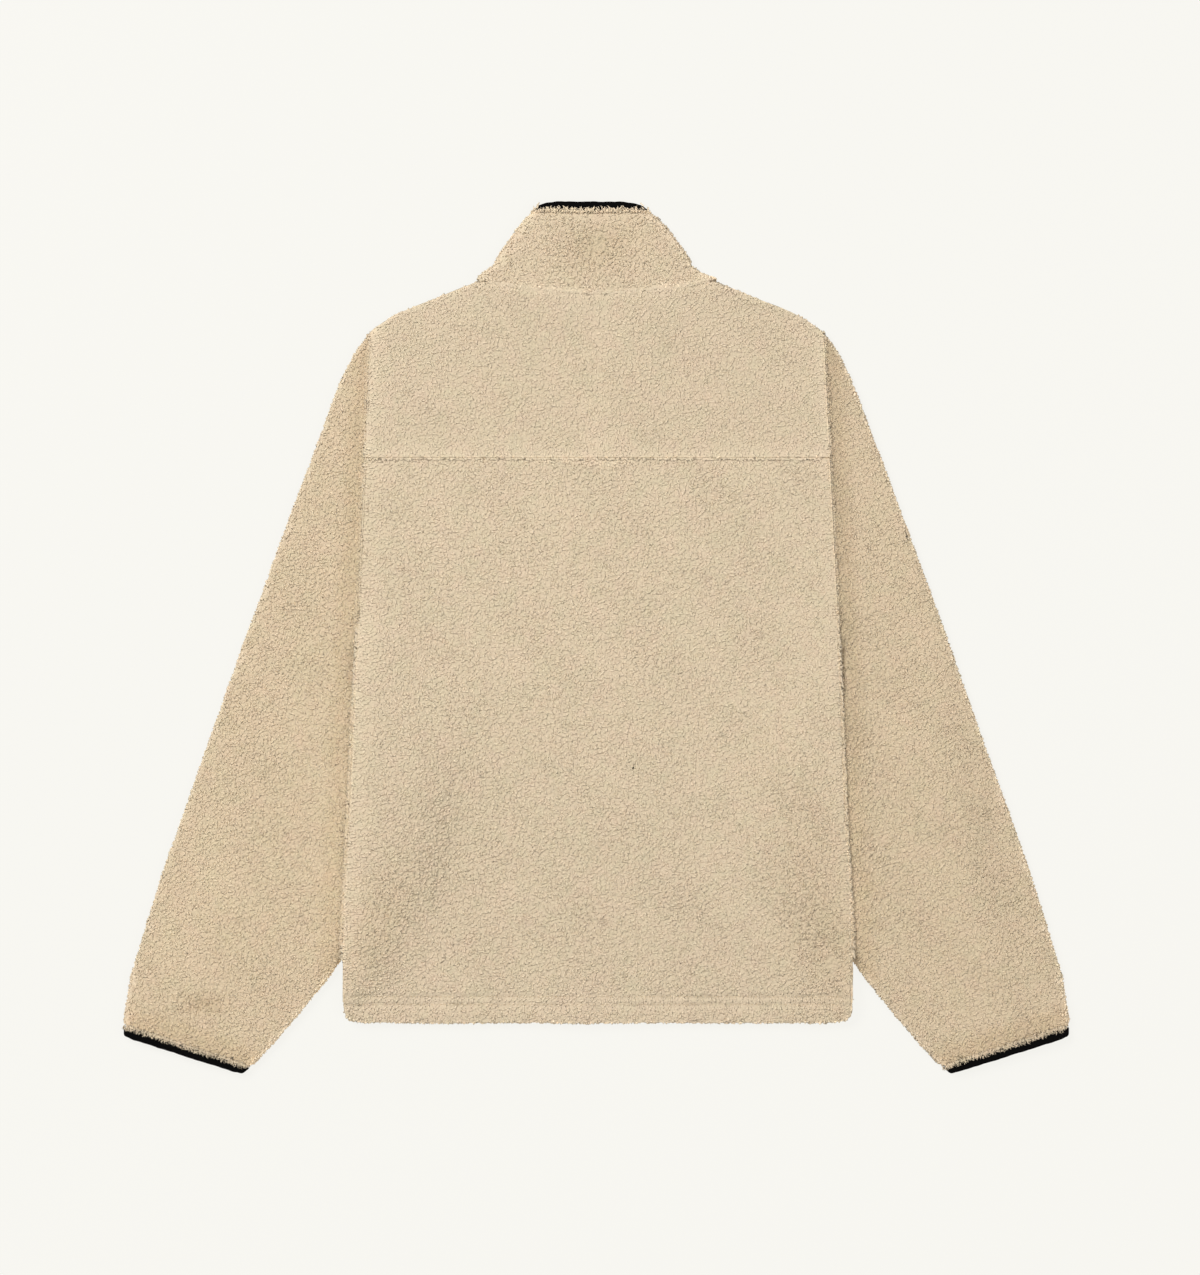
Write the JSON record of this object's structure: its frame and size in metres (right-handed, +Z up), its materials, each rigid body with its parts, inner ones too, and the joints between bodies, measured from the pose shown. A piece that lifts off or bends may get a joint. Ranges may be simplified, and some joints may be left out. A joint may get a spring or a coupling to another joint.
{
  "type": "fleece jacket",
  "caption": "Stand-collar zip fleece jacket in curled cream pile, lying flat and face down, with bound cuffs and collar and a back yoke.",
  "frame": {"origin": "on the surface the jacket lies on, under the centre of its box", "axes": "+X across the jacket to the side that is on the right with the collar up, +Y from hem to collar, +Z up out of its back"},
  "size_m": [0.889, 0.8209, 0.0217],
  "materials": {
    "fleece": "curled sherpa pile, matt",
    "elastic_binding": "ribbed black elastic",
    "zip_tape": "woven tape with moulded teeth",
    "zip_metal": "satin black lacquer"
  },
  "bodies": {
    "jacket": {"back_yoke": "fleece", "back_body": "fleece", "front_left": "fleece", "front_right": "fleece", "sleeve_left": "fleece", "sleeve_right": "fleece", "collar": "fleece", "collar_binding": "elastic_binding", "cuff_binding_left": "elastic_binding", "cuff_binding_right": "elastic_binding", "zip_tape_left": "zip_tape", "zip_tape_right": "zip_tape", "zip_slider": "zip_metal"},
    "pull": {"zip_pull": "zip_metal"}
  },
  "joints": [
    {"name": "pull_hinge", "type": "hinge", "parent": "jacket", "child": "pull", "pos_m": [0, 0.3526, 0.00245], "axis": [1, 0, 0], "range_deg": [0, 150]}
  ]
}
